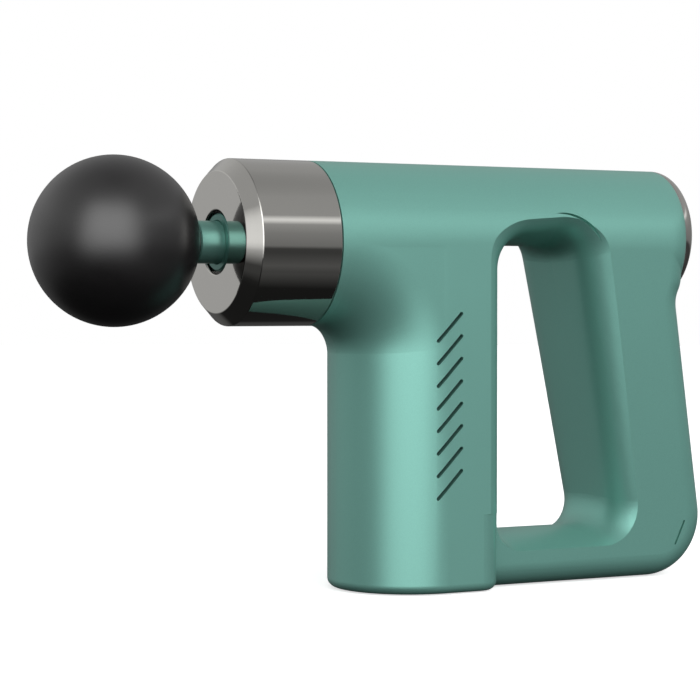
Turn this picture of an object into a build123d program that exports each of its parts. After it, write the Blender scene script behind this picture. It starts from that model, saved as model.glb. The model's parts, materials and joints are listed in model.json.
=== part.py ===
"""Percussion massage gun with a ball head, a round barrel, a battery column and a slanted loop handle.

Units are millimetres, +Z is up.  The origin is on the flat base, under the motor shaft, which is also
the centre of the round front of the column.  The ball points along -X and the control panel along +X.
The Y = 0 plane is the parting plane of the two housing shells.
"""
from build123d import *
from math import cos, pi, radians, sin, sqrt, tan
import os

os.makedirs("parts", exist_ok=True)

# ---------------------------------------------------------------- driving dimensions: outside
BARREL_R = 27.5                     # barrel, column front, ball and chrome nose share this radius
AXIS_Z = 116.5                      # height of the barrel axis
WALL = 2.3                          # housing wall
NOSE_FRONT = -72.0                  # flat chrome face
NOSE_REAR = -39.1                   # chrome ring meets the green housing
BEND_R = 37.5                       # centre line radius of the barrel-to-column bend
BEND_EXTRA = 0.15                   # extra wall in the bend, as a share of the wall
BEND_RELIEF = 0.02                  # the bend is this much slimmer than the straight barrel
WEB_RELIEF = 0.04                   # and the flat web between bend and column this much
WEB_LAP = 0.8                       # the web's edges lie this far inside barrel, column and bend
COLUMN_REAR = 22.4                  # wall of the hand opening
COLUMN_CORNER = 8.6                 # rounding of the column towards the hand opening
COLUMN_FOOT = 26.0                  # above this height the hand opening rounds the column
BASE_EDGE_R = 3.0                   # rounding of the column's foot
LOOP_FRONT = 14.0                   # the loop plate starts inside the column here
BARREL_REAR = 99.0                  # plane of the rear bezel
REAR_ROUND = 8.0                    # length of the rounding before that plane
BEZEL_R = 23.5                      # rim of the rear bezel
BEZEL_Z = AXIS_Z + BARREL_R - BEZEL_R
TAPER = radians(3.0)                # handle sides lean in towards the base
GRIP_LEAN = radians(10.0)           # handle back leans this much from vertical
GRIP_BACK_LOW = (108.1, 33.3)       # x, z of a point on the handle's straight back
GRIP_CORNER_R = 21.0                # rear bottom corner in side view
GRIP_EDGE_R = 8.5                   # rounding of the handle's back edges
NECK_Z = 95.5                       # where the back leaves its straight line, under the panel
NECK_TURN = radians(25.0)           # how far the neck turns outward
NECK_R_IN, NECK_R_OUT = 9.0, 14.0   # hollow and crowned arcs of the neck

# hand opening, on the parting plane, and how its walls swell towards the housing's sides
OPEN_LOW, OPEN_HIGH = 17.8, 116.5
OPEN_RIGHT = (67.2, 62.3)           # x, z of a point on the handle-side wall
OPEN_LEAN = 0.18                    # forward run of that wall for each unit of height
GRIP_ROUND, GRIP_ROUND_WIDE = 19.0, 13.5              # its rounding towards the sides, and how wide that is
SWELL_CORNER, SWELL_TOP, SWELL_BAR = 28.5, 36.0, 46.7   # radii of the swelling corners and walls
SOFT_START, SOFT_R, SOFT_RISE = 19.4, 8.5, 4.0        # soft rounding on the column side
OPEN_HALF_Y = SOFT_START + SOFT_R                     # the cutter stops here

# ---------------------------------------------------------------- driving dimensions: housing details
BOSS_R = 3.2                        # screw towers, and their places as x, z
SCREW_SPOTS = [(-12.0, 136.0), (68.0, 136.0), (77.0, 103.0), (91.0, 17.0), (41.0, 8.8), (-32.0, 97.0)]
SCREW_R, SCREW_HEAD_R = 1.05, 2.4
SCREW_SEAT, SCREW_BITE = 13.0, 12.0     # depths of the head seat and the thread, from the parting plane
VENT_COUNT, VENT_PITCH, VENT_FIRST_Z = 8, 7.46, 36.4
VENT_LEN, VENT_WIDTH, VENT_ANGLE, VENT_X = 13.8, 1.25, 46.0, 0.7
MESH_HALF = 8.0
SEAM_DEPTH = 1.4
CRESCENT_FRONT, CRESCENT_REAR = (43.6, 127.1), (61.8, 117.7)
CRESCENT_INNER, CRESCENT_OUTER = (53.6, 124.9), (54.2, 125.7)
HEEL_SEAM_MIDDLE, HEEL_SEAM_ANGLE = (98.1, 15.4), 66.5
HEEL_SEAM_LEN, HEEL_SEAM_WIDTH = 9.4, 0.7
SPIGOT_R, SPIGOT_FRONT = 25.15, -51.0
BEZEL_SPIGOT_R = 20.0
PORT_WIDTH, PORT_HEIGHT, PORT_Z = 8.9, 3.2, 36.0
PORT_X = GRIP_BACK_LOW[0] - tan(GRIP_LEAN) * (PORT_Z - GRIP_BACK_LOW[1])
PORT_PLANE = Plane(origin=(PORT_X, 0, PORT_Z), x_dir=(0, 1, 0), z_dir=(cos(GRIP_LEAN), 0, sin(GRIP_LEAN)))

# ---------------------------------------------------------------- driving dimensions: nose and drive
NOSE_HOLE_R, NOSE_FACE_R = 10.5, 23.3
STROKE = 10.0
THROW = STROKE / 2                  # crank pin offset
RUN_FIT = 0.05                      # radial running clearance
PLUNGER_R, PLUNGER_FRONT = 7.0, -80.0
SLEEVE_R, SLEEVE_END = 9.5, -34.0
GUIDE_R, GUIDE_END = 12.0, -24.5
FLANGE_R, FLANGE_FRONT = 20.5, -50.0
SOCKET_R, SOCKET_DEPTH = 5.0, 22.0
YOKE_SLACK = 1.3                    # the yoke's slot is wider than the roller by this on each side
ROLLER_R, ROLLER_LOW, ROLLER_HIGH = 4.5, 110.0, 122.5
YOKE_LOW, YOKE_HIGH, YOKE_HALF_Y = 109.0, 124.0, 13.5
YOKE_HALF_X = ROLLER_R + YOKE_SLACK + 3.7
YOKE_NECK_FRONT = -27.0
TAIL_R, TAIL_END = 5.0, -15.2       # the plunger's tail inside the yoke's neck
YOKE_PIN_R, YOKE_PIN_X = 1.25, -21.0
BALL_X = -107.5
STEM_CORE_R, STEM_CORE_LEN, STEM_COLLAR_R = 5.8, 16.0, 6.7
BALL_SKIN_X = BALL_X + sqrt(BARREL_R ** 2 - STEM_CORE_R ** 2) + 0.05
STEM_TIP = BALL_X + BARREL_R - STEM_CORE_LEN + 0.3
PLUG_R, PLUG_END = SOCKET_R - 0.08, PLUNGER_FRONT + SOCKET_DEPTH - 1.5
SEAL_X = PLUG_END - 5.0
SHAFT_R, PIN_R, PIN_TOP = 2.5, 2.0, 124.0
DISC_LOW, DISC_HIGH, COUNTER_R = 100.6, 104.6, 15.5
PLATE_LOW, PLATE_HIGH = 95.5, 98.5
FRAME_R, FRAME_FRONT = 19.4, -24.0
CHEEK_IN, CHEEK_OUT, CHEEK_TOP = 18.2, 20.2, 127.0

# ---------------------------------------------------------------- driving dimensions: motor and battery
ROTOR_R, ROTOR_LOW, ROTOR_HIGH = 18.5, 74.5, 92.5
MAGNET_COUNT, TOOTH_COUNT = 14, 12
STATOR_R, STATOR_HUB_R, STATOR_LOW, STATOR_HIGH = 15.2, 7.5, 80.5, 89.5
BEARING_R, BEARING_LOWS = 6.0, (78.0, 91.2)
CELL_R, CELL_LEN, CELL_LOW = 9.15, 65.0, 5.0
CELL_CENTRES = [(-13.5, 0.0), (6.5, 10.0), (6.5, -10.0)]

# ---------------------------------------------------------------- driving dimensions: electronics and panel
WIRE_BEND = 3.2
BOARD_W, BOARD_L = 23.0, 72.0
BOARD_PLANE = Plane(origin=(82.9, 5.0, 58.0), x_dir=(cos(GRIP_LEAN), 0, sin(GRIP_LEAN)), z_dir=(0, -1, 0))
BOARD_HOLES = [(0.0, 32.5), (0.0, -32.5)]
BOARD_BLOCKS = [(-6, 22, 10, 8, 4.5), (6, 20, 7, 7, 1.6), (-5, 8, 9, 9, 1.4), (6, 6, 5, 6, 2.2), (6, -2, 5, 6, 2.2),
                (-6, -4, 8, 8, 3.5), (-6, -26, 9, 6, 5.0), (5, -26, 7, 6, 5.0)]
BOARD_CANS = [(-6, -15, 4.0, 8.0), (5, -14, 4.0, 8.0)]
PANEL_R, PANEL_SEAT_R = 18.4, 17.0
PANEL_BACK, BEZEL_TOP = BARREL_REAR + 2.2, BARREL_REAR + 5.5
BUTTON_R, BUTTON_TRAVEL = 6.0, 0.9
BUTTON_BACK, BUTTON_FACE = PANEL_BACK - 1.2, PANEL_BACK + 3.4
CONTROL_FRONT = BARREL_REAR - 4.0
LIGHT_R = 0.9
LIGHT_ANGLES = [30, 60, 90, 120, 150, 250, 270, 290]
LIGHT_SPOTS = [(12.5 * cos(radians(a)), BEZEL_Z + 12.5 * sin(radians(a))) for a in LIGHT_ANGLES]

BARREL_AXIS = Axis((0, 0, AXIS_Z), (1, 0, 0))
PANEL_AXIS = Axis((0, 0, BEZEL_Z), (1, 0, 0))


def save(part, name):
    """Name a finished piece and write its file."""
    part.label = name
    export_step(part, f"parts/{name}.step")


def ring_profile(points, axis):
    """Solid of revolution from an outline of (x, radius) points about a line along X."""
    height = axis.position.Z
    with BuildPart() as turned:
        with BuildSketch(Plane.XZ):
            with BuildLine():
                Polyline(*[(x, height + radius) for x, radius in points], close=True)
            make_face()
        revolve(axis=axis)
    return turned.part


def wires(routes, radius):
    """Round wires along routes of straight runs joined by arcs."""
    with BuildPart() as bundle:
        for route in routes:
            with BuildLine() as path:
                FilletPolyline(*route, radius=WIRE_BEND)
            with BuildSketch(path.line ^ 0):
                Circle(radius)
            sweep(path=path.line)
    return bundle.part


def column_plan(gap):
    """Plan of the room inside the column, with a gap to its walls."""
    radius = BARREL_R - WALL - gap
    rear = COLUMN_REAR - WALL - gap
    with BuildSketch() as plan:
        Circle(radius)
        with Locations((rear / 2, 0)):
            Rectangle(rear, 2 * radius)
        with Locations((rear + BARREL_R, 0)):
            Rectangle(2 * BARREL_R, 2 * BARREL_R, mode=Mode.SUBTRACT)
        corners = plan.vertices().group_by(Axis.X)[-1]
        fillet(corners, COLUMN_CORNER - WALL)
    return plan.sketch


# ================================================================ housing
def tapered_end(inset):
    """Barrel-and-handle section, seen along X: round top, sides leaning in towards the base."""
    radius = BARREL_R - inset
    touch_y, touch_z = radius * cos(TAPER), AXIS_Z - radius * sin(TAPER)
    foot_y = touch_y - (touch_z - inset) * tan(TAPER)
    with BuildSketch(Plane.YZ) as section:
        with BuildLine():
            ThreePointArc((touch_y, touch_z), (0, AXIS_Z + radius), (-touch_y, touch_z))
            Polyline((-touch_y, touch_z), (-foot_y, inset), (foot_y, inset), (touch_y, touch_z))
        make_face()
    return section.sketch


def handle_side(inset, top_z):
    """Side view of the loop: straight base, round rear corner, leaning back, waist under the panel."""
    lean = GRIP_LEAN
    shift = inset / cos(lean)
    low_x, low_z = GRIP_BACK_LOW
    foot_x = low_x + tan(lean) * (low_z - inset) - shift
    neck_x = low_x - tan(lean) * (NECK_Z - low_z) - shift
    turn, hollow, crown = NECK_TURN, NECK_R_IN + inset, NECK_R_OUT - inset
    bend_x = neck_x + hollow * (cos(lean) - cos(turn))
    bend_z = NECK_Z + hollow * (sin(turn) + sin(lean))
    rear_x = BARREL_REAR - inset
    rear_z = bend_z + crown * sin(turn)
    dip = NECK_Z + hollow * sin(lean)
    with BuildSketch(Plane.XZ) as side:
        with BuildLine():
            FilletPolyline((LOOP_FRONT, inset), (foot_x, inset), (neck_x, NECK_Z), radius=GRIP_CORNER_R - inset)
            ThreePointArc((neck_x, NECK_Z), (neck_x - hollow * (1 - cos(lean)), dip), (bend_x, bend_z))
            Spline((bend_x, bend_z), (rear_x, rear_z), tangents=[(sin(turn), cos(turn)), (0, 1)])
            Polyline((rear_x, rear_z), (rear_x, top_z), (LOOP_FRONT, top_z),
                     (LOOP_FRONT, inset))
        make_face()
    return side.sketch


def opening_cutter(outset):
    """The hand opening as a solid; outset moves every wall outward, for the cavity's own island."""
    def swell(radius, y):
        return radius - sqrt((radius - outset) ** 2 - y * y)

    def soft(y):
        past = max(0.0, abs(y) - SOFT_START)
        radius = SOFT_R - outset
        return outset + radius - sqrt(max(0.0, radius ** 2 - past ** 2))

    def grip_wall(y, z):
        """x of the handle-side wall: flat in the middle, rounded towards the leaning sides."""
        side = BARREL_R - tan(TAPER) * max(0.0, AXIS_Z - z)
        past = max(0.0, abs(y) - side + GRIP_ROUND_WIDE)
        radius = GRIP_ROUND - outset
        push = GRIP_ROUND - sqrt(radius ** 2 - min(past, 0.97 * radius) ** 2)
        return OPEN_RIGHT[0] + OPEN_LEAN * (OPEN_RIGHT[1] - z) + push

    reach = OPEN_HALF_Y - outset
    stations = [reach * sin(radians(90 * step / 7)) for step in range(-7, 8)]
    with BuildPart() as cutter:
        for y in stations:
            left = COLUMN_REAR - soft(y)
            low = OPEN_LOW - swell(SWELL_BAR, y)
            high_left = OPEN_HIGH + soft(y) + SOFT_RISE * (y / BARREL_R) ** 2
            high_right = OPEN_HIGH + swell(SWELL_TOP, y)
            share = swell(SWELL_CORNER, y) / SWELL_CORNER
            corners = [(left, low), (grip_wall(y, low), low), (grip_wall(y, high_right), high_right), (left, high_left)]
            rounds = [8 + 6 * share + outset, 9 + 9 * share, 7 + 16 * share, 11 + 8 * share + outset]
            with BuildSketch(Plane.XZ.offset(-y)):
                with BuildLine():
                    FilletPolyline(*corners, radius=rounds, close=True)
                make_face()
        loft()
    return cutter.part


def housing_solid(inset):
    """The whole housing as one solid, every face moved inward by inset."""
    radius = BARREL_R - inset
    rear = BARREL_REAR - inset
    touch_z = AXIS_Z - radius * sin(TAPER)
    end_view, side_view = tapered_end(inset), handle_side(inset, touch_z)
    column, opening = column_solid(inset), opening_cutter(inset)
    with BuildPart() as body:
        # loop plate and the barrel above it
        extrude(end_view, amount=130)
        extrude(side_view, amount=40, both=True, mode=Mode.INTERSECT)
        flats = body.faces().filter_by(GeomType.PLANE).filter_by(lambda f: abs(f.normal_at().Y) > 0.9)
        rim = flats.edges().filter_by(lambda e: e.center().X > LOOP_FRONT + 1 and e.center().Z < touch_z - 0.5)
        fillet(rim, GRIP_EDGE_R - inset)
        # rear end: circles that all touch the barrel's top line, shrinking towards the bezel
        for step in range(6):
            angle = radians(18 * step)
            small = BEZEL_R + (BARREL_R - BEZEL_R) * cos(angle) - inset
            x = rear - REAR_ROUND + REAR_ROUND * sin(angle)
            with BuildSketch(Plane.YZ.offset(x)):
                with Locations((0, AXIS_Z + radius - small)):
                    Circle(small)
        loft()
        # straight barrel
        with BuildSketch(Plane.YZ.offset(NOSE_REAR)):
            with Locations((0, AXIS_Z)):
                Circle(radius)
        extrude(amount=rear - REAR_ROUND - NOSE_REAR)
        # bend down into the column; inside, its wall is a little thicker than the rest
        with BuildSketch(Plane.YZ.offset(-BEND_R)):
            with Locations((0, AXIS_Z)):
                Circle(radius - BEND_EXTRA * inset - BEND_RELIEF)
        revolve(axis=Axis((-BEND_R, 0, AXIS_Z - BEND_R), (0, 1, 0)), revolution_arc=90)
        # flat web between the bend, the barrel and the column
        web_half = radius - BEND_EXTRA * inset - WEB_RELIEF
        with BuildSketch(Plane.XZ):
            with BuildLine():
                arc_r = BEND_R - WEB_LAP
                RadiusArc((-BEND_R, AXIS_Z - WEB_LAP), (-WEB_LAP, AXIS_Z - BEND_R), arc_r)
                Polyline((-WEB_LAP, AXIS_Z - BEND_R), (WEB_LAP, AXIS_Z - BEND_R), (WEB_LAP, AXIS_Z + WEB_LAP),
                         (-BEND_R, AXIS_Z + WEB_LAP), (-BEND_R, AXIS_Z - WEB_LAP))
            make_face()
        extrude(amount=web_half, both=True)
        add(column)
        add(opening, mode=Mode.SUBTRACT)
    return body.part


def column_solid(inset):
    """Battery column: round front, flat sides, rounded towards the hand opening."""
    radius = BARREL_R - inset
    rear = COLUMN_REAR - inset
    with BuildPart() as foot:
        with BuildSketch(Plane.XY.offset(inset)):
            Circle(radius)
            with Locations((rear / 2, 0)):
                Rectangle(rear, 2 * radius)
        extrude(amount=COLUMN_FOOT - inset)
        fillet(foot.edges().filter_by(Axis.Z).group_by(Axis.X)[-1], COLUMN_CORNER - inset)
        if inset == 0:
            fillet(foot.faces().sort_by(Axis.Z)[0].edges(), BASE_EDGE_R)
    with BuildPart() as column:
        with BuildSketch(Plane.XY.offset(COLUMN_FOOT)):
            Circle(radius)
            with Locations((rear / 2, 0)):
                Rectangle(rear, 2 * radius)
        extrude(amount=AXIS_Z - COLUMN_FOOT)
        add(foot.part)
    return column.part


housing_outer = housing_solid(0)
housing_cavity = housing_solid(WALL)
groove_floor = tapered_end(SEAM_DEPTH)
tray_outline = column_plan(0.5)
mesh_outside, mesh_inside = column_plan(0.05), column_plan(0.4)

# ---------------------------------------------------------------- features shared by both shells
with BuildPart() as vent_cutter:
    with BuildSketch(Plane.XZ):
        with Locations(*[(VENT_X, VENT_FIRST_Z + VENT_PITCH * row) for row in range(VENT_COUNT)]):
            SlotOverall(VENT_LEN, VENT_WIDTH, rotation=VENT_ANGLE)
    extrude(amount=BARREL_R + 1, both=True)

# crescent undercut along the opening's upper rear edge, and the short seam at the heel
with BuildPart() as seam_cutter:
    with BuildSketch(Plane.XZ):
        with BuildLine():
            ThreePointArc(CRESCENT_FRONT, CRESCENT_INNER, CRESCENT_REAR)
            ThreePointArc(CRESCENT_REAR, CRESCENT_OUTER, CRESCENT_FRONT)
        make_face()
        with Locations(HEEL_SEAM_MIDDLE):
            SlotOverall(HEEL_SEAM_LEN, HEEL_SEAM_WIDTH, rotation=HEEL_SEAM_ANGLE)
    extrude(amount=BARREL_R + 1, both=True)
    extrude(groove_floor, amount=130, mode=Mode.SUBTRACT)

# round hole for the panel's bezel, and the slot for the charging socket
with BuildPart() as rear_cutter:
    with BuildSketch(Plane.YZ.offset(BARREL_REAR + 1)):
        with Locations((0, BEZEL_Z)):
            Circle(BEZEL_SPIGOT_R + 0.1)
    extrude(amount=-WALL - 3)
    with BuildSketch(PORT_PLANE.offset(1)):
        SlotOverall(PORT_WIDTH + 0.5, PORT_HEIGHT + 0.5)
    extrude(amount=-WALL - 3)

with BuildPart() as screw_towers:
    with BuildSketch(Plane.XZ):
        with Locations(*SCREW_SPOTS):
            Circle(BOSS_R)
    extrude(amount=BARREL_R, both=True)
    add(housing_outer, mode=Mode.INTERSECT)

with BuildPart() as board_posts:
    with BuildSketch(BOARD_PLANE):
        with Locations(*BOARD_HOLES):
            Circle(2.6)
            Circle(0.9, mode=Mode.SUBTRACT)
    extrude(amount=-BARREL_R)
    add(housing_outer, mode=Mode.INTERSECT)

spigot = ring_profile([(SPIGOT_FRONT, SPIGOT_R - WALL), (SPIGOT_FRONT, SPIGOT_R), (NOSE_REAR, SPIGOT_R),
                       (NOSE_REAR, SPIGOT_R + 1.3), (NOSE_REAR + 3, SPIGOT_R + 1.3),
                       (NOSE_REAR + 3, SPIGOT_R - WALL)], BARREL_AXIS)


def half(part, keep):
    """One side of a part, cut at the parting plane."""
    with BuildPart() as side:
        add(part)
        split(bisect_by=Plane.XZ, keep=keep)
    return side.part


def shell(keep):
    """One housing shell with its openings and towers, before the screw holes."""
    solids = [half(part, keep) for part in (housing_outer, spigot, screw_towers.part)]
    cutters = [half(part, keep) for part in (housing_cavity, vent_cutter.part, seam_cutter.part, rear_cutter.part)]
    with BuildPart() as walls:
        add(solids[0])
        for cutter in cutters:
            add(cutter, mode=Mode.SUBTRACT)
        for solid in solids[1:]:
            add(solid)
    return walls.part


left_walls, right_walls = shell(Keep.TOP), shell(Keep.BOTTOM)

with BuildPart() as left_shell:
    add(left_walls)
    with BuildSketch(Plane.XZ):
        with Locations(*SCREW_SPOTS):
            Circle(SCREW_R + 0.05)
    extrude(amount=SCREW_BITE + 1, mode=Mode.SUBTRACT)
save(left_shell.part, "left_shell")

with BuildPart() as right_shell:
    add(right_walls)
    add(board_posts.part)
    with BuildSketch(Plane.XZ):
        with Locations(*SCREW_SPOTS):
            Circle(SCREW_R + 0.3)
    extrude(amount=-SCREW_SEAT, mode=Mode.SUBTRACT)
    with BuildSketch(Plane.XZ.offset(-SCREW_SEAT)):
        with Locations(*SCREW_SPOTS):
            Circle(SCREW_HEAD_R + 0.2)
    extrude(amount=-BARREL_R, mode=Mode.SUBTRACT)
save(right_shell.part, "right_shell")

with BuildPart() as housing_screws:
    with BuildSketch(Plane.XZ.offset(SCREW_BITE)):
        with Locations(*SCREW_SPOTS):
            Circle(SCREW_R)
    extrude(amount=-SCREW_BITE - SCREW_SEAT)
    with BuildSketch(Plane.XZ.offset(-SCREW_SEAT)):
        with Locations(*SCREW_SPOTS):
            Circle(SCREW_HEAD_R)
    extrude(amount=-1.9)
    chamfer(housing_screws.faces().sort_by(Axis.Y)[-len(SCREW_SPOTS):].edges(), 0.4)
    with BuildSketch(Plane.XZ.offset(-SCREW_SEAT - 0.7)):
        with Locations(*SCREW_SPOTS):
            RegularPolygon(1.2, 6)
    extrude(amount=-2, mode=Mode.SUBTRACT)
save(housing_screws.part, "housing_screws")

with BuildPart() as vent_mesh:
    with BuildSketch(Plane.XY.offset(VENT_FIRST_Z - VENT_PITCH)):
        add(mesh_outside)
        add(mesh_inside, mode=Mode.SUBTRACT)
        with Locations((VENT_X, 0)):
            Rectangle(2 * MESH_HALF, 2 * BARREL_R, mode=Mode.INTERSECT)
    extrude(amount=VENT_PITCH * (VENT_COUNT + 1))
save(vent_mesh.part, "vent_mesh")

# ================================================================ nose
nose_blank = ring_profile([(NOSE_FRONT, NOSE_HOLE_R), (NOSE_FRONT, NOSE_FACE_R), (NOSE_FRONT + 4.2, BARREL_R),
                           (NOSE_REAR - 0.2, BARREL_R), (NOSE_REAR - 0.2, SPIGOT_R + 0.15),
                           (NOSE_FRONT + 6, SPIGOT_R + 0.15), (NOSE_FRONT + 3.4, SPIGOT_R - 2.5),
                           (NOSE_FRONT + 3.4, NOSE_HOLE_R)], BARREL_AXIS)
with BuildPart() as nose_ring:
    add(nose_blank)
    circles = nose_ring.edges().filter_by(GeomType.CIRCLE)
    rims = circles.filter_by(lambda e: e.radius > BARREL_R - 0.01)
    fillet(rims + circles.filter_by(lambda e: e.center().X < NOSE_FRONT + 0.01), 0.5)
save(nose_ring.part, "nose_ring")

save(ring_profile([(NOSE_FRONT + 0.4, PLUNGER_R + RUN_FIT + 0.3), (NOSE_FRONT + 0.4, SLEEVE_R - 0.5),
                   (NOSE_FRONT + 0.9, SLEEVE_R), (SLEEVE_END, SLEEVE_R), (SLEEVE_END, PLUNGER_R + RUN_FIT),
                   (NOSE_FRONT + 0.7, PLUNGER_R + RUN_FIT)], BARREL_AXIS), "guide_sleeve")

save(ring_profile([(NOSE_FRONT + 3.6, SLEEVE_R + 0.03), (NOSE_FRONT + 3.6, GUIDE_R), (FLANGE_FRONT, GUIDE_R),
                   (FLANGE_FRONT, FLANGE_R), (FLANGE_FRONT + 3, FLANGE_R), (FLANGE_FRONT + 3, GUIDE_R),
                   (GUIDE_END, GUIDE_R), (GUIDE_END, SLEEVE_R + 0.03)], BARREL_AXIS), "guide_housing")

save(ring_profile([(FLANGE_FRONT - 1.2, FLANGE_R - 3), (FLANGE_FRONT - 1.2, SPIGOT_R - WALL - 0.05),
                   (FLANGE_FRONT + 4.2, SPIGOT_R - WALL - 0.05), (FLANGE_FRONT + 4.2, FLANGE_R - 3),
                   (FLANGE_FRONT + 3.05, FLANGE_R - 3), (FLANGE_FRONT + 3.05, FLANGE_R + 0.05),
                   (FLANGE_FRONT - 0.05, FLANGE_R + 0.05), (FLANGE_FRONT - 0.05, FLANGE_R - 3)],
                  BARREL_AXIS), "front_damper")

# ================================================================ plunger and yoke
plunger_blank = ring_profile([(PLUNGER_FRONT, SOCKET_R + 0.4), (PLUNGER_FRONT, PLUNGER_R - 0.4),
                              (PLUNGER_FRONT + 0.4, PLUNGER_R), (YOKE_NECK_FRONT, PLUNGER_R),
                              (YOKE_NECK_FRONT, TAIL_R), (TAIL_END, TAIL_R), (TAIL_END, 0),
                              (PLUNGER_FRONT + SOCKET_DEPTH, 0), (PLUNGER_FRONT + SOCKET_DEPTH, SOCKET_R),
                              (PLUNGER_FRONT + 0.4, SOCKET_R)], BARREL_AXIS)
with BuildPart() as plunger:
    add(plunger_blank)
    with BuildSketch(Plane.XY.offset(AXIS_Z - 9)):
        with Locations((YOKE_PIN_X, 0)):
            Circle(YOKE_PIN_R + 0.03)
    extrude(amount=18, mode=Mode.SUBTRACT)
save(plunger.part, "plunger")

with BuildPart() as yoke:
    with BuildSketch(Plane.XY.offset(YOKE_LOW)):
        RectangleRounded(2 * YOKE_HALF_X, 2 * YOKE_HALF_Y, 2)
        SlotOverall(2 * (THROW + ROLLER_R + YOKE_SLACK), 2 * (ROLLER_R + YOKE_SLACK), rotation=90,
                    mode=Mode.SUBTRACT)
    extrude(amount=YOKE_HIGH - YOKE_LOW)
    with BuildSketch(Plane.YZ.offset(-YOKE_HALF_X)):
        with Locations((0, AXIS_Z)):
            Circle(PLUNGER_R)
    extrude(amount=YOKE_NECK_FRONT + YOKE_HALF_X)
    with BuildSketch(Plane.YZ.offset(YOKE_NECK_FRONT)):
        with Locations((0, AXIS_Z)):
            Circle(TAIL_R + 0.03)
    extrude(amount=TAIL_END - YOKE_NECK_FRONT + 0.3, mode=Mode.SUBTRACT)
    with BuildSketch(Plane.XY.offset(AXIS_Z - 9)):
        with Locations((YOKE_PIN_X, 0)):
            Circle(YOKE_PIN_R + 0.03)
    extrude(amount=18, mode=Mode.SUBTRACT)
save(yoke.part, "yoke")

with BuildPart() as yoke_pin:
    with BuildSketch(Plane.XY.offset(AXIS_Z - PLUNGER_R + 0.3)):
        with Locations((YOKE_PIN_X, 0)):
            Circle(YOKE_PIN_R)
    extrude(amount=2 * PLUNGER_R - 0.6)
save(yoke_pin.part, "yoke_pin")

# ================================================================ ball head
with BuildPart() as massage_ball:
    with Locations((BALL_X, 0, AXIS_Z)):
        Sphere(BARREL_R)
    with BuildSketch(Plane.YZ.offset(BALL_X + BARREL_R + 1)):
        with Locations((0, AXIS_Z)):
            Circle(STEM_CORE_R + 0.05)
    extrude(amount=-STEM_CORE_LEN - 1, mode=Mode.SUBTRACT)
save(massage_ball.part, "massage_ball")

save(ring_profile([(STEM_TIP, 0), (STEM_TIP, STEM_CORE_R), (BALL_SKIN_X, STEM_CORE_R),
                   (BALL_SKIN_X, STEM_COLLAR_R), (PLUNGER_FRONT - 0.15, STEM_COLLAR_R),
                   (PLUNGER_FRONT - 0.15, PLUG_R), (SEAL_X - 0.9, PLUG_R), (SEAL_X - 0.9, PLUG_R - 1.6),
                   (SEAL_X + 0.9, PLUG_R - 1.6), (SEAL_X + 0.9, PLUG_R), (PLUG_END - 1, PLUG_R),
                   (PLUG_END, PLUG_R - 1), (PLUG_END, 0)], BARREL_AXIS), "head_stem")

with BuildPart() as head_seal:
    with BuildSketch(Plane.XZ):
        with Locations((SEAL_X, AXIS_Z + SOCKET_R - 0.85)):
            Circle(0.8)
    revolve(axis=BARREL_AXIS)
save(head_seal.part, "head_seal")

# ================================================================ crank, turning with the motor
with BuildPart() as motor_shaft:
    with BuildSketch(Plane.XY.offset(ROTOR_LOW)):
        Circle(SHAFT_R)
    extrude(amount=DISC_HIGH - ROTOR_LOW)
    chamfer(motor_shaft.edges().group_by(Axis.Z)[0], 0.3)
save(motor_shaft.part, "motor_shaft")

with BuildPart() as crank_disc:
    with BuildSketch(Plane.XY.offset(DISC_LOW)):
        Circle(10)
        Circle(SHAFT_R + 0.02, mode=Mode.SUBTRACT)
        with Locations((0, -THROW)):
            Circle(PIN_R + 0.02, mode=Mode.SUBTRACT)
    extrude(amount=DISC_HIGH - DISC_LOW)
save(crank_disc.part, "crank_disc")

with BuildPart() as counterweight:
    with BuildSketch(Plane.XY.offset(DISC_LOW)):
        Circle(COUNTER_R)
        Circle(10.1, mode=Mode.SUBTRACT)
        with Locations((0, -COUNTER_R)):
            Rectangle(3 * COUNTER_R, 2 * COUNTER_R, mode=Mode.SUBTRACT)
    extrude(amount=DISC_HIGH - DISC_LOW)
    with BuildSketch(Plane.XY.offset(DISC_HIGH)):
        Circle(COUNTER_R)
        Circle(6, mode=Mode.SUBTRACT)
        with Locations((0, 3 - COUNTER_R)):
            Rectangle(3 * COUNTER_R, 2 * COUNTER_R, mode=Mode.SUBTRACT)
    extrude(amount=2.5)
save(counterweight.part, "counterweight")

with BuildPart() as crank_pin:
    with BuildSketch(Plane.XY.offset(DISC_LOW)):
        with Locations((0, -THROW)):
            Circle(PIN_R)
    extrude(amount=PIN_TOP - DISC_LOW)
    with BuildSketch(Plane.XY.offset(DISC_HIGH)):
        with Locations((0, -THROW)):
            Circle(PIN_R + 0.8)
    extrude(amount=ROLLER_LOW - DISC_HIGH - 0.1)
    with BuildSketch(Plane.XY.offset(ROLLER_HIGH + 0.1)):
        with Locations((0, -THROW)):
            Circle(PIN_R + 1)
            Circle(PIN_R - 0.35, mode=Mode.SUBTRACT)
    extrude(amount=0.7, mode=Mode.SUBTRACT)
save(crank_pin.part, "crank_pin")

with BuildPart() as crank_roller:
    with BuildSketch(Plane.XY.offset(ROLLER_LOW)):
        with Locations((0, -THROW)):
            Circle(ROLLER_R)
            Circle(PIN_R + 0.03, mode=Mode.SUBTRACT)
    extrude(amount=ROLLER_HIGH - ROLLER_LOW)
    chamfer(crank_roller.edges().filter_by(lambda e: e.length > 2 * pi * (ROLLER_R - 0.1)), 0.4)
save(crank_roller.part, "crank_roller")

with BuildPart() as roller_clip:
    with BuildSketch(Plane.XY.offset(ROLLER_HIGH + 0.15)):
        with Locations((0, -THROW)):
            Circle(PIN_R + 1.3)
            Circle(PIN_R - 0.33, mode=Mode.SUBTRACT)
        with Locations((PIN_R + 0.6, -THROW)):
            Rectangle(3, 1.4, mode=Mode.SUBTRACT)
    extrude(amount=0.6)
save(roller_clip.part, "roller_clip")

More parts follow.
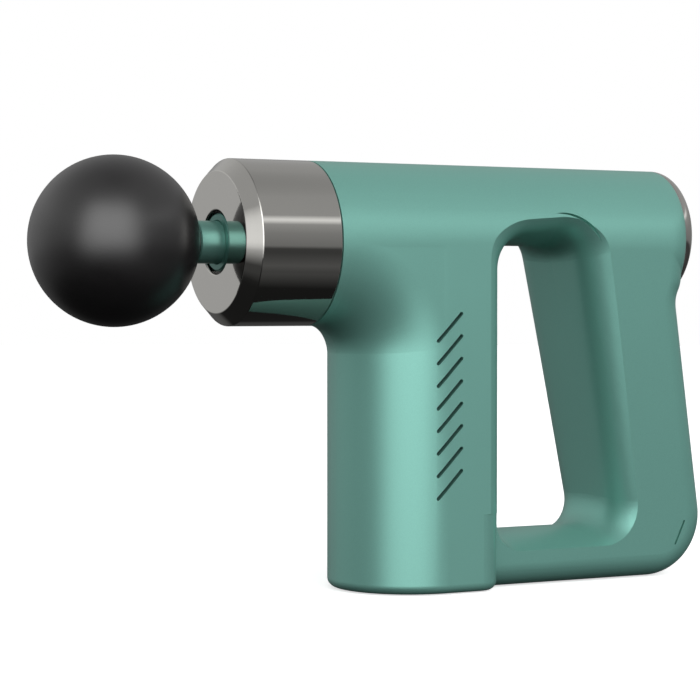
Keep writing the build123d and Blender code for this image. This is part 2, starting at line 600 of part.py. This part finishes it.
# ================================================================ motor
with BuildPart() as rotor_bell:
    with BuildSketch(Plane.XY.offset(ROTOR_LOW)):
        Circle(ROTOR_R)
    extrude(amount=ROTOR_HIGH - ROTOR_LOW)
    chamfer(rotor_bell.edges().group_by(Axis.Z)[0], 1.0)
    with BuildSketch(Plane.XY.offset(ROTOR_LOW + 2.2)):
        Circle(ROTOR_R - 1.2)
    extrude(amount=ROTOR_HIGH - ROTOR_LOW, mode=Mode.SUBTRACT)
    with BuildSketch(Plane.XY.offset(ROTOR_LOW)):
        Circle(SHAFT_R + 0.02)
        with PolarLocations(11.5, 6):
            SlotOverall(6, 3.4, rotation=90)
    extrude(amount=3, mode=Mode.SUBTRACT)
save(rotor_bell.part, "rotor_bell")

with BuildPart() as rotor_magnets:
    with BuildSketch(Plane.XY.offset(ROTOR_LOW + 4)):
        Circle(ROTOR_R - 1.25)
        Circle(ROTOR_R - 2.9, mode=Mode.SUBTRACT)
        with PolarLocations(ROTOR_R - 2, MAGNET_COUNT):
            Rectangle(6, 0.7, mode=Mode.SUBTRACT)
    extrude(amount=12)
save(rotor_magnets.part, "rotor_magnets")

with BuildSketch(Plane.XY.offset(STATOR_LOW)) as tooth_tips:
    Circle(STATOR_R)
    Circle(STATOR_R - 1.1, mode=Mode.SUBTRACT)
    with PolarLocations(STATOR_R, TOOTH_COUNT, start_angle=180 / TOOTH_COUNT):
        Rectangle(6, 1.6, mode=Mode.SUBTRACT)
with BuildSketch(Plane.XY.offset(STATOR_LOW)) as teeth:
    Circle(STATOR_HUB_R + 1.5)
    with PolarLocations(STATOR_HUB_R + 4, TOOTH_COUNT):
        Rectangle(6, 1.8)
with BuildPart() as stator_core:
    extrude(tooth_tips.sketch, amount=STATOR_HIGH - STATOR_LOW)
    extrude(teeth.sketch, amount=STATOR_HIGH - STATOR_LOW)
    with BuildSketch(Plane.XY.offset(STATOR_LOW)):
        Circle(STATOR_HUB_R + 0.03)
    extrude(amount=STATOR_HIGH - STATOR_LOW, mode=Mode.SUBTRACT)
save(stator_core.part, "stator_core")

with BuildPart() as stator_coils:
    with BuildSketch(Plane.XY.offset(STATOR_LOW - 1.2)):
        with PolarLocations(STATOR_HUB_R + 4.0, TOOTH_COUNT):
            RectangleRounded(4.2, 4.4, 0.6)
    extrude(amount=STATOR_HIGH - STATOR_LOW + 2.4)
    with BuildSketch(Plane.XY.offset(STATOR_LOW - 0.05)):
        with PolarLocations(STATOR_HUB_R + 4.0, TOOTH_COUNT):
            Rectangle(6, 1.9)
    extrude(amount=STATOR_HIGH - STATOR_LOW + 0.1, mode=Mode.SUBTRACT)
save(stator_coils.part, "stator_coils")

with BuildPart() as motor_base:
    with BuildSketch(Plane.XY.offset(ROTOR_HIGH + 0.5)):
        Circle(15)
    extrude(amount=PLATE_LOW - ROTOR_HIGH - 0.5)
    with BuildSketch(Plane.XY.offset(ROTOR_LOW + 3)):
        Circle(STATOR_HUB_R)
    extrude(amount=PLATE_LOW - ROTOR_LOW - 3)
    with BuildSketch(Plane.XY.offset(ROTOR_LOW + 2)):
        Circle(BEARING_R + 0.02)
    extrude(amount=PLATE_LOW - ROTOR_LOW, mode=Mode.SUBTRACT)
    with BuildSketch(Plane.XY.offset(ROTOR_HIGH)):
        with PolarLocations(11.3, 4, start_angle=45):
            Circle(1.3)
    extrude(amount=5, mode=Mode.SUBTRACT)
save(motor_base.part, "motor_base")

with BuildPart() as motor_bearings:
    for low in BEARING_LOWS:
        with BuildSketch(Plane.XY.offset(low)):
            Circle(BEARING_R)
            Circle(BEARING_R - 1.0, mode=Mode.SUBTRACT)
        extrude(amount=4)
        with BuildSketch(Plane.XY.offset(low)):
            Circle(SHAFT_R + 1.0)
            Circle(SHAFT_R + RUN_FIT, mode=Mode.SUBTRACT)
        extrude(amount=4)
        with Locations((0, 0, low + 2)):
            with PolarLocations((BEARING_R + SHAFT_R) / 2, 7):
                Sphere(0.72)
save(motor_bearings.part, "motor_bearings")

with BuildPart() as motor_screws:
    with BuildSketch(Plane.XY.offset(ROTOR_HIGH + 0.7)):
        with PolarLocations(11.3, 4, start_angle=45):
            Circle(1.25)
    extrude(amount=PLATE_HIGH - ROTOR_HIGH - 0.7)
    with BuildSketch(Plane.XY.offset(PLATE_HIGH)):
        with PolarLocations(11.3, 4, start_angle=45):
            Circle(2.2)
            RegularPolygon(1.1, 6, mode=Mode.SUBTRACT)
    extrude(amount=1.4)
save(motor_screws.part, "motor_screws")

with BuildPart() as drive_frame:
    with BuildSketch(Plane.XY.offset(PLATE_LOW)):
        Circle(FRAME_R)
        with Locations((FRAME_R, 0)):
            Rectangle(6, 16, mode=Mode.SUBTRACT)
        with Locations((-FRAME_R / 2, 0)):
            Rectangle(FRAME_R, 2 * CHEEK_OUT)
        Circle(4, mode=Mode.SUBTRACT)
        with PolarLocations(11.3, 4, start_angle=45):
            Circle(1.3, mode=Mode.SUBTRACT)
    extrude(amount=PLATE_HIGH - PLATE_LOW)
    with BuildSketch(Plane.XY.offset(PLATE_HIGH)):
        with Locations((-4, (CHEEK_IN + CHEEK_OUT) / 2), (-4, -(CHEEK_IN + CHEEK_OUT) / 2)):
            Rectangle(40, CHEEK_OUT - CHEEK_IN)
    extrude(amount=CHEEK_TOP - PLATE_HIGH)
    with BuildSketch(Plane.YZ.offset(FRAME_FRONT)):
        with Locations((0, AXIS_Z)):
            Circle(24.3)
        with Locations((0, PLATE_LOW - 20)):
            Rectangle(60, 40, mode=Mode.SUBTRACT)
    extrude(amount=4)
    with BuildSketch(Plane.YZ.offset(FRAME_FRONT - 7)):
        with Locations((0, AXIS_Z)):
            Circle(GUIDE_R + 3.5)
    extrude(amount=7)
    with BuildSketch(Plane.YZ.offset(FRAME_FRONT - 8)):
        with Locations((0, AXIS_Z)):
            Circle(GUIDE_R + 0.05)
    extrude(amount=14, mode=Mode.SUBTRACT)
save(drive_frame.part, "drive_frame")

with BuildPart() as frame_dampers:
    with BuildSketch(Plane.XZ.offset(CHEEK_OUT + 0.03)):
        with Locations((4.5, 103), (11.5, 111)):
            Circle(3.5)
            Circle(1.6, mode=Mode.SUBTRACT)
    extrude(amount=BARREL_R - WALL - CHEEK_OUT - 0.08)
    mirror(about=Plane.XZ)
save(frame_dampers.part, "frame_dampers")

# ================================================================ battery
with BuildPart() as battery_cells:
    with BuildSketch(Plane.XY.offset(CELL_LOW)):
        with Locations(*CELL_CENTRES):
            Circle(CELL_R)
    extrude(amount=CELL_LEN)
    fillet(battery_cells.edges().filter_by(GeomType.CIRCLE), 0.8)
    with BuildSketch(Plane.XY.offset(CELL_LOW + CELL_LEN)):
        with Locations(*CELL_CENTRES):
            Circle(4)
    extrude(amount=0.6)
save(battery_cells.part, "battery_cells")

with BuildPart() as battery_tray:
    with BuildSketch(Plane.XY.offset(WALL + 0.2)):
        add(tray_outline)
    extrude(amount=CELL_LOW - WALL - 0.3)
    with BuildSketch(Plane.XY.offset(CELL_LOW - 0.1)):
        with Locations(*CELL_CENTRES):
            Circle(CELL_R + 1.1)
        add(tray_outline, mode=Mode.INTERSECT)
        with Locations(*CELL_CENTRES):
            Circle(CELL_R + 0.1, mode=Mode.SUBTRACT)
    extrude(amount=9)
save(battery_tray.part, "battery_tray")

with BuildPart() as battery_cap:
    with BuildSketch(Plane.XY.offset(CELL_LOW + CELL_LEN - 4)):
        add(tray_outline)
    extrude(amount=7.2)
    with BuildSketch(Plane.XY.offset(CELL_LOW + CELL_LEN - 5)):
        with Locations(*CELL_CENTRES):
            Circle(CELL_R + 0.1)
    extrude(amount=6.2, mode=Mode.SUBTRACT)
save(battery_cap.part, "battery_cap")

with BuildPart() as cell_links:
    for x, y in CELL_CENTRES:
        with BuildSketch(Plane.XY.offset(CELL_LOW + CELL_LEN + 0.65)):
            with Locations((x, y)):
                RectangleRounded(7, 7, 1)
        extrude(amount=0.3)
save(cell_links.part, "cell_links")

# ================================================================ electronics
with BuildPart() as main_board:
    with BuildSketch(BOARD_PLANE):
        RectangleRounded(BOARD_W, BOARD_L, 2)
        with Locations(*BOARD_HOLES):
            Circle(1.1, mode=Mode.SUBTRACT)
    extrude(amount=1.6)
save(main_board.part, "main_board")

with BuildPart() as board_parts:
    for x, y, wide, tall, rise in BOARD_BLOCKS:
        with BuildSketch(BOARD_PLANE.offset(1.6)):
            with Locations((x, y)):
                RectangleRounded(wide, tall, 0.4)
        extrude(amount=rise)
    for x, y, radius, rise in BOARD_CANS:
        with BuildSketch(BOARD_PLANE.offset(1.6)):
            with Locations((x, y)):
                Circle(radius)
        extrude(amount=rise)
save(board_parts.part, "board_parts")

with BuildPart() as board_screws:
    with BuildSketch(BOARD_PLANE.offset(1.62)):
        with Locations(*BOARD_HOLES):
            Circle(1.9)
    extrude(amount=1.2)
    with BuildSketch(BOARD_PLANE.offset(1.62)):
        with Locations(*BOARD_HOLES):
            Circle(0.85)
    extrude(amount=-10)
save(board_screws.part, "board_screws")

with BuildPart() as charging_socket:
    with BuildSketch(PORT_PLANE.offset(-0.3)):
        SlotOverall(PORT_WIDTH, PORT_HEIGHT)
        SlotOverall(PORT_WIDTH - 0.7, PORT_HEIGHT - 0.7, mode=Mode.SUBTRACT)
    extrude(amount=-7.3)
    with BuildSketch(PORT_PLANE.offset(-7.6)):
        SlotOverall(PORT_WIDTH, PORT_HEIGHT)
    extrude(amount=0.8)
    with BuildSketch(PORT_PLANE.offset(-7.2)):
        Rectangle(6.6, 0.7)
    extrude(amount=6)
save(charging_socket.part, "charging_socket")

with BuildPart() as charge_board:
    with BuildSketch(PORT_PLANE.offset(-7.7)):
        RectangleRounded(16, 12, 1)
    extrude(amount=-1.2)
save(charge_board.part, "charge_board")

# ================================================================ rear panel
with BuildPart() as rear_bezel:
    with BuildSketch(Plane.XZ):
        with BuildLine():
            Polyline((BARREL_REAR + 0.1, BEZEL_Z + BEZEL_R), (BARREL_REAR + 0.1, BEZEL_Z + BEZEL_SPIGOT_R),
                     (BARREL_REAR - 8, BEZEL_Z + BEZEL_SPIGOT_R), (BARREL_REAR - 8, BEZEL_Z + PANEL_SEAT_R),
                     (PANEL_BACK, BEZEL_Z + PANEL_SEAT_R), (PANEL_BACK, BEZEL_Z + PANEL_R + 0.1),
                     (BEZEL_TOP - 0.5, BEZEL_Z + PANEL_R + 0.1), (BEZEL_TOP, BEZEL_Z + PANEL_R + 0.5))
            ThreePointArc((BEZEL_TOP, BEZEL_Z + PANEL_R + 0.5), (BEZEL_TOP - 1.7, BEZEL_Z + 22.3),
                          (BARREL_REAR + 0.1, BEZEL_Z + BEZEL_R))
        make_face()
    revolve(axis=PANEL_AXIS)
save(rear_bezel.part, "rear_bezel")

with BuildPart() as control_panel:
    with BuildSketch(Plane.XZ):
        with BuildLine():
            Polyline((PANEL_BACK + 0.1, BEZEL_Z), (PANEL_BACK + 0.1, BEZEL_Z + PANEL_R),
                     (PANEL_BACK + 1.6, BEZEL_Z + PANEL_R))
            ThreePointArc((PANEL_BACK + 1.6, BEZEL_Z + PANEL_R), (PANEL_BACK + 2.35, BEZEL_Z + PANEL_R / 2),
                          (PANEL_BACK + 2.6, BEZEL_Z))
            Line((PANEL_BACK + 2.6, BEZEL_Z), (PANEL_BACK + 0.1, BEZEL_Z))
        make_face()
    revolve(axis=PANEL_AXIS)
    with BuildSketch(Plane.YZ.offset(PANEL_BACK - 1)):
        with Locations((0, BEZEL_Z)):
            Circle(BUTTON_R + 0.08)
        with Locations(*LIGHT_SPOTS):
            Circle(LIGHT_R + 0.05)
    extrude(amount=6, mode=Mode.SUBTRACT)
save(control_panel.part, "control_panel")

with BuildPart() as power_button:
    with BuildSketch(Plane.YZ.offset(BUTTON_BACK)):
        with Locations((0, BEZEL_Z)):
            Circle(BUTTON_R + 1.2)
    extrude(amount=1.2)
    with BuildSketch(Plane.YZ.offset(BUTTON_BACK)):
        with Locations((0, BEZEL_Z)):
            Circle(BUTTON_R)
    extrude(amount=BUTTON_FACE - BUTTON_BACK)
    fillet(power_button.edges().group_by(Axis.X)[-1], 0.7)
save(power_button.part, "power_button")

with BuildPart() as light_guides:
    with BuildSketch(Plane.YZ.offset(CONTROL_FRONT + 1.5)):
        with Locations(*LIGHT_SPOTS):
            Circle(LIGHT_R)
    extrude(amount=PANEL_BACK + 2.2 - CONTROL_FRONT - 1.5)
save(light_guides.part, "light_guides")

with BuildPart() as control_board:
    with BuildSketch(Plane.YZ.offset(CONTROL_FRONT - 1.6)):
        with Locations((0, BEZEL_Z)):
            Circle(PANEL_SEAT_R - 0.2)
    extrude(amount=1.6)
    for y, z in LIGHT_SPOTS:
        with BuildSketch(Plane.YZ.offset(CONTROL_FRONT)):
            with Locations((y, z)):
                Rectangle(1.6, 1.6)
        extrude(amount=1.2)
save(control_board.part, "control_board")

with BuildPart() as control_switch:
    with BuildSketch(Plane.YZ.offset(CONTROL_FRONT + 0.02)):
        with Locations((0, BEZEL_Z)):
            RectangleRounded(6, 6, 0.5)
    extrude(amount=3.0)
    with BuildSketch(Plane.YZ.offset(CONTROL_FRONT + 3.02)):
        with Locations((0, BEZEL_Z)):
            Circle(1.6)
    extrude(amount=BUTTON_BACK - BUTTON_TRAVEL - 0.1 - CONTROL_FRONT - 3.02)
save(control_switch.part, "control_switch")

# ================================================================ wiring
save(wires([[(16.5, y, 65.8), (16.5, y, 9), (26, y, 3.9), (76, y, 3.9), (80.5, y, 27.3)] for y in (-2.2, 0.0)],
           0.8), "battery_leads")
save(wires([[(17.6, y, 93.3), (17.6, y, 129), (69, y, 129), (69, y, 83.3)] for y in (-2.4, -0.6, 1.2)], 0.7),
     "motor_leads")
save(wires([[(93.2, y, 118), (84.8, y, 118), (83.2, y, 83.3)] for y in (0.4, 2.0)], 0.5), "panel_leads")
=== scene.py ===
import json
from math import cos, pi, radians, sin

import bpy
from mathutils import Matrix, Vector

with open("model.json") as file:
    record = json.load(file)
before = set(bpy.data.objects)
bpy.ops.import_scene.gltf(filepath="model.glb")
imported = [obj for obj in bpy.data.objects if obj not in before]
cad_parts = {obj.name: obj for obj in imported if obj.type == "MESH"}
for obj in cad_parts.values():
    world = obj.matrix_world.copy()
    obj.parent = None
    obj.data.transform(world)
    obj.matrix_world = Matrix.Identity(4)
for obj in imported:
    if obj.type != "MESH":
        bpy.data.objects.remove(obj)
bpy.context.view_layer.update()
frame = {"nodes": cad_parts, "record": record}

scene = bpy.context.scene
record = frame["record"]

# ------------------------------------------------------------ sizes and levels
CAMERA_PLACE = (-0.3781, -0.6691, 0.098)
CAMERA_HEADING = (0.4695, 0.8829)
CAMERA_DROP = radians(1.3)
CAMERA_LENS = 115.7

BACKDROP = 1.0                  # white behind the object
FLOOR_RADIUS, FLOOR_Z = 4.0, -0.0004
FLOOR_GLOW = 0.62               # lifts the floor to the backdrop's white
LIT_SPOT = (0, 0, 0.08)         # the soft lights point here

# share of the way from straight down to straight up, then the room's brightness there
ROOM = [(0.0, 0.01), (0.30, 0.015), (0.34, 0.05), (0.455, 0.06), (0.475, 0.22),
        (0.56, 0.29), (0.63, 0.42), (0.8, 0.40), (1.0, 0.20)]

# azimuth, width, softness, elevation, height, softness in degrees, then brightness
PANELS = [
    (-27, 72, 24, 18, 58, 22, 1.75),
    (45, 60, 20, 27, 6, 5, 0.6),
    (-115, 60, 40, 10, 60, 40, 0.15),
    (-152, 60, 30, 10, 60, 30, 0.22),
    (30, 70, 30, -34, 26, 16, 0.06),
]


# ------------------------------------------------------------ camera
def look_from(position, heading, drop, lens):
    """A level camera at position, heading along the floor direction and tipped down by drop."""
    camera = bpy.data.objects.new("Camera", bpy.data.cameras.new("Camera"))
    forward = Vector((heading[0] * cos(drop), heading[1] * cos(drop), -sin(drop)))
    camera.location = position
    camera.rotation_euler = forward.to_track_quat("-Z", "Y").to_euler()
    camera.data.lens = lens
    camera.data.sensor_width = 36
    camera.data.clip_start = 0.01
    camera.data.clip_end = 50
    scene.collection.objects.link(camera)
    scene.camera = camera


look_from(CAMERA_PLACE, CAMERA_HEADING, CAMERA_DROP, CAMERA_LENS)
scene.view_settings.view_transform = "Standard"


# ------------------------------------------------------------ node helpers
class Nodes:
    """A short way to write a node tree."""

    def __init__(self, tree):
        self.tree = tree

    def add(self, kind, inputs=None, **settings):
        node = self.tree.nodes.new("ShaderNode" + kind)
        for key, value in settings.items():
            setattr(node, key, value)
        for key, value in (inputs or {}).items():
            self.put(node.inputs[key], value)
        return node

    def put(self, socket, value):
        if isinstance(value, bpy.types.NodeSocket):
            self.tree.links.new(value, socket)
        elif isinstance(value, bpy.types.Node):
            self.tree.links.new(value.outputs[0], socket)
        else:
            socket.default_value = value

    def maths(self, operation, *values, clamp=False):
        node = self.add("Math", operation=operation, use_clamp=clamp)
        for socket, value in zip(node.inputs, values):
            self.put(socket, value)
        return node.outputs[0]

    def ramp(self, factor, stops):
        """Grey levels at positions along the factor."""
        node = self.add("ValToRGB", {"Fac": factor})
        while len(node.color_ramp.elements) < len(stops):
            node.color_ramp.elements.new(0.5)
        for element, (position, level) in zip(node.color_ramp.elements, stops):
            element.position = position
            element.color = grey(level)
        return node.outputs[0]

    def mix(self, factor, a, b):
        node = self.add("Mix", data_type="RGBA")
        self.put(node.inputs["Factor"], factor)
        self.put(node.inputs["A"], a)
        self.put(node.inputs["B"], b)
        return node.outputs["Result"]


def grey(value):
    return (value, value, value, 1)


def tint(color, factor):
    return tuple(min(1.0, c * factor) for c in color) + (1,)


# ------------------------------------------------------------ studio
def studio_world():
    """White behind the object, and a soft studio of panels around it for light and reflections."""
    world = bpy.data.worlds.new("Studio")
    scene.world = world
    world.use_nodes = True
    tree = Nodes(world.node_tree)
    world.node_tree.nodes.clear()
    where = tree.add("TexCoord").outputs["Generated"]
    x, y, z = tree.add("SeparateXYZ", {"Vector": where}).outputs
    azimuth = tree.maths("ARCTAN2", x, tree.maths("MULTIPLY", y, -1.0))
    elevation = tree.maths("ARCSINE", z)

    def inside(off, size, softness):
        """1 within size around the middle, 0 beyond, with a soft edge; sizes in degrees."""
        left = tree.maths("SUBTRACT", radians(size / 2), off)
        return tree.maths("MULTIPLY_ADD", left, 1 / radians(softness), 0.5, clamp=True)

    level = tree.maths("DIVIDE", tree.maths("ADD", elevation, radians(90)), pi)
    light = tree.add("RGBToBW", {"Color": tree.ramp(level, ROOM)}).outputs[0]
    for az, width, soft_w, el, height, soft_h, power in PANELS:
        turn = tree.maths("WRAP", tree.maths("SUBTRACT", azimuth, radians(az)), pi, -pi)
        side = inside(tree.maths("ABSOLUTE", turn), width, soft_w)
        rise = tree.maths("ABSOLUTE", tree.maths("SUBTRACT", elevation, radians(el)))
        panel = tree.maths("MULTIPLY", side, inside(rise, height, soft_h))
        light = tree.maths("MULTIPLY_ADD", panel, power, light)
    studio = tree.add("Background", {"Color": grey(1), "Strength": light})
    backdrop = tree.add("Background", {"Color": grey(1), "Strength": BACKDROP})
    seen = tree.add("LightPath").outputs["Is Camera Ray"]
    both = tree.add("MixShader", {"Fac": seen, 1: studio, 2: backdrop})
    tree.add("OutputWorld", {"Surface": both})


studio_world()


def soft_light(name, place, size, power):
    """A square area light aimed at the object, which reflections don't show."""
    lamp = bpy.data.objects.new(name, bpy.data.lights.new(name, "AREA"))
    lamp.data.shape = "RECTANGLE"
    lamp.data.size = lamp.data.size_y = size
    lamp.data.energy = power
    lamp.location = place
    lamp.rotation_euler = (Vector(LIT_SPOT) - Vector(place)).to_track_quat("-Z", "Y").to_euler()
    lamp.visible_glossy = False
    lamp.visible_camera = False
    scene.collection.objects.link(lamp)


soft_light("TopLight", (0.0, -0.3, 1.2), 1.0, 2.0)
soft_light("FrontFill", (0.4, -1.2, 0.6), 0.8, 9.0)


def make_floor():
    """A round pale floor that takes the shadow and stays out of reflections and bounced light."""
    mesh = bpy.data.meshes.new("Floor")
    ring = [(FLOOR_RADIUS * cos(radians(a)), FLOOR_RADIUS * sin(radians(a)), FLOOR_Z)
            for a in range(0, 360, 5)]
    mesh.from_pydata(ring, [], [list(range(len(ring)))])
    floor = bpy.data.objects.new("Floor", mesh)
    scene.collection.objects.link(floor)
    material = bpy.data.materials.new("Floor")
    material.use_nodes = True
    tree = Nodes(material.node_tree)
    material.node_tree.nodes.clear()
    cloud = tree.add("TexNoise", {"Scale": 3.0, "Detail": 2.0})
    white = tree.mix(cloud.outputs["Fac"], grey(0.86), grey(0.88))
    matte = tree.add("BsdfDiffuse", {"Color": white})
    glow = tree.add("Emission", {"Color": grey(1), "Strength": FLOOR_GLOW})
    both = tree.add("AddShader", {0: matte, 1: glow})
    tree.add("OutputMaterial", {"Surface": both})
    mesh.materials.append(material)
    floor.visible_glossy = False
    floor.visible_diffuse = False


make_floor()


# ------------------------------------------------------------ materials
def surface(name, color, metallic=0.0, roughness=0.4, spread=0.06, cell=0.02, grain=0.0006,
            depth=0.02, rough_spread=0.05, stretch=(1, 1, 1), coat=0.0, coat_rough=0.1,
            specular=0.5, ior=1.5, flake=0.0):
    """Colour and roughness that drift over a cell, and a fine grain in the bump; lengths in metres."""
    material = bpy.data.materials.new(name)
    material.use_nodes = True
    material.diffuse_color = (*color, 1)
    tree = Nodes(material.node_tree)
    material.node_tree.nodes.clear()
    place = tree.add("TexCoord").outputs["Object"]
    stretched = tree.add("Mapping", {"Vector": place, "Scale": stretch})
    drift = tree.add("TexNoise", {"Vector": place, "Scale": 1 / cell, "Detail": 3.0}).outputs["Fac"]
    fine = tree.add("TexNoise", {"Vector": stretched, "Scale": 1 / grain, "Detail": 2.0}).outputs["Fac"]
    shade = tree.mix(drift, tint(color, 1 - spread), tint(color, 1 + spread))
    if flake:
        speck = tree.ramp(fine, [(0.35, 0.0), (0.65, 1.0)])
        shade = tree.mix(tree.maths("MULTIPLY", speck, flake), shade, tint(color, 1.8))
    rough = tree.maths("MULTIPLY_ADD", drift, rough_spread, roughness - rough_spread / 2)
    bump = tree.add("Bump", {"Height": fine, "Strength": depth, "Distance": grain / 4})
    shader = tree.add("BsdfPrincipled", {
        "Base Color": shade, "Metallic": metallic, "Roughness": rough, "Normal": bump,
        "Coat Weight": coat, "Coat Roughness": coat_rough,
        "Specular IOR Level": specular, "IOR": ior})
    tree.add("OutputMaterial", {"Surface": shader})
    return material


CHROME = (0.60, 0.59, 0.56)
FINISHES = {
    # housing and nose
    "green_shell": dict(color=(0.205, 0.47, 0.405), metallic=0.62, roughness=0.37, spread=0.02,
                        cell=0.03, grain=0.00025, depth=0.05, rough_spread=0.03, flake=0.10),
    "green_sleeve": dict(color=(0.10, 0.25, 0.215), metallic=0.7, roughness=0.34, grain=0.0003,
                         depth=0.05),
    "green_plunger": dict(color=(0.19, 0.42, 0.365), metallic=0.7, roughness=0.32, grain=0.0003,
                          depth=0.06, stretch=(1, 6, 6)),
    "chrome_nose": dict(color=CHROME, metallic=1.0, roughness=0.045, spread=0.015, grain=0.004,
                        depth=0.004, rough_spread=0.02),
    "chrome_bezel": dict(color=CHROME, metallic=1.0, roughness=0.06, spread=0.015, grain=0.004,
                         depth=0.004, rough_spread=0.02),
    # the plate behind the vent slots is near-black with a green tint: painted shade for the dark inside
    # the slots
    "dust_mesh": dict(color=(0.003, 0.006, 0.005), roughness=0.8, grain=0.0008, depth=0.8),
    "steel_screw": dict(color=(0.10, 0.10, 0.105), metallic=1.0, roughness=0.35),
    "seal_rubber": dict(color=(0.015, 0.015, 0.015)),
    # head
    "black_foam": dict(color=(0.006, 0.0055, 0.006), roughness=0.34, spread=0.15, cell=0.006,
                       grain=0.00045, depth=0.15, rough_spread=0.06, specular=1.0, ior=1.55),
    "black_nylon": dict(color=(0.014, 0.014, 0.014), roughness=0.45, depth=0.1),
    # control panel
    "panel_glass": dict(color=(0.008, 0.008, 0.009), roughness=0.12, coat=0.8, coat_rough=0.05),
    "button_black": dict(color=(0.02, 0.02, 0.022), roughness=0.3, depth=0.08),
    "light_guide": dict(color=(0.72, 0.76, 0.78), roughness=0.15),
    # drive
    "shaft_steel": dict(color=(0.5, 0.5, 0.5), metallic=1.0, roughness=0.25, stretch=(1, 1, 12)),
    "bearing_steel": dict(color=(0.6, 0.6, 0.6), metallic=1.0, roughness=0.12),
    "counterweight_steel": dict(color=(0.22, 0.22, 0.23), metallic=1.0, roughness=0.55, depth=0.3),
    "yoke_aluminium": dict(color=(0.62, 0.63, 0.64), metallic=1.0, roughness=0.35,
                           stretch=(1, 20, 1), depth=0.1),
    "frame_aluminium": dict(color=(0.5, 0.51, 0.52), metallic=1.0, roughness=0.5, grain=0.0015,
                            depth=0.35),
    "damper_rubber": dict(color=(0.02, 0.02, 0.02), roughness=0.7, depth=0.3),
    # motor
    "rotor_steel": dict(color=(0.04, 0.04, 0.045), metallic=0.9),
    "magnet_nickel": dict(color=(0.5, 0.49, 0.46), metallic=1.0, roughness=0.2),
    "lamination": dict(color=(0.28, 0.28, 0.3), metallic=1.0, stretch=(1, 1, 30), depth=0.5),
    "copper_coil": dict(color=(0.55, 0.22, 0.08), metallic=0.9, roughness=0.3,
                        stretch=(1, 1, 20), depth=0.6),
    # battery and electronics
    "cell_wrap": dict(color=(0.03, 0.16, 0.4), roughness=0.35, cell=0.01),
    "cell_nickel": dict(color=(0.6, 0.6, 0.57), metallic=1.0, roughness=0.3, stretch=(8, 1, 1)),
    "tray_plastic": dict(color=(0.02, 0.02, 0.02), roughness=0.55, depth=0.3),
    "circuit_board": dict(color=(0.008, 0.11, 0.05), roughness=0.3, spread=0.2, cell=0.003),
    "chip_black": dict(color=(0.015, 0.015, 0.016), roughness=0.5, depth=0.2),
    "socket_steel": dict(color=(0.5, 0.5, 0.5), metallic=1.0, roughness=0.3),
    "lead_insulation": dict(color=(0.3, 0.015, 0.015), roughness=0.45),
}
materials = {slot: surface(slot, **finish) for slot, finish in FINISHES.items()}
slot_of = {part["node"]: part["material_slot"] for part in record["subparts"]}
for name, node in frame["nodes"].items():
    node.data.materials.clear()
    node.data.materials.append(materials[slot_of[name]])
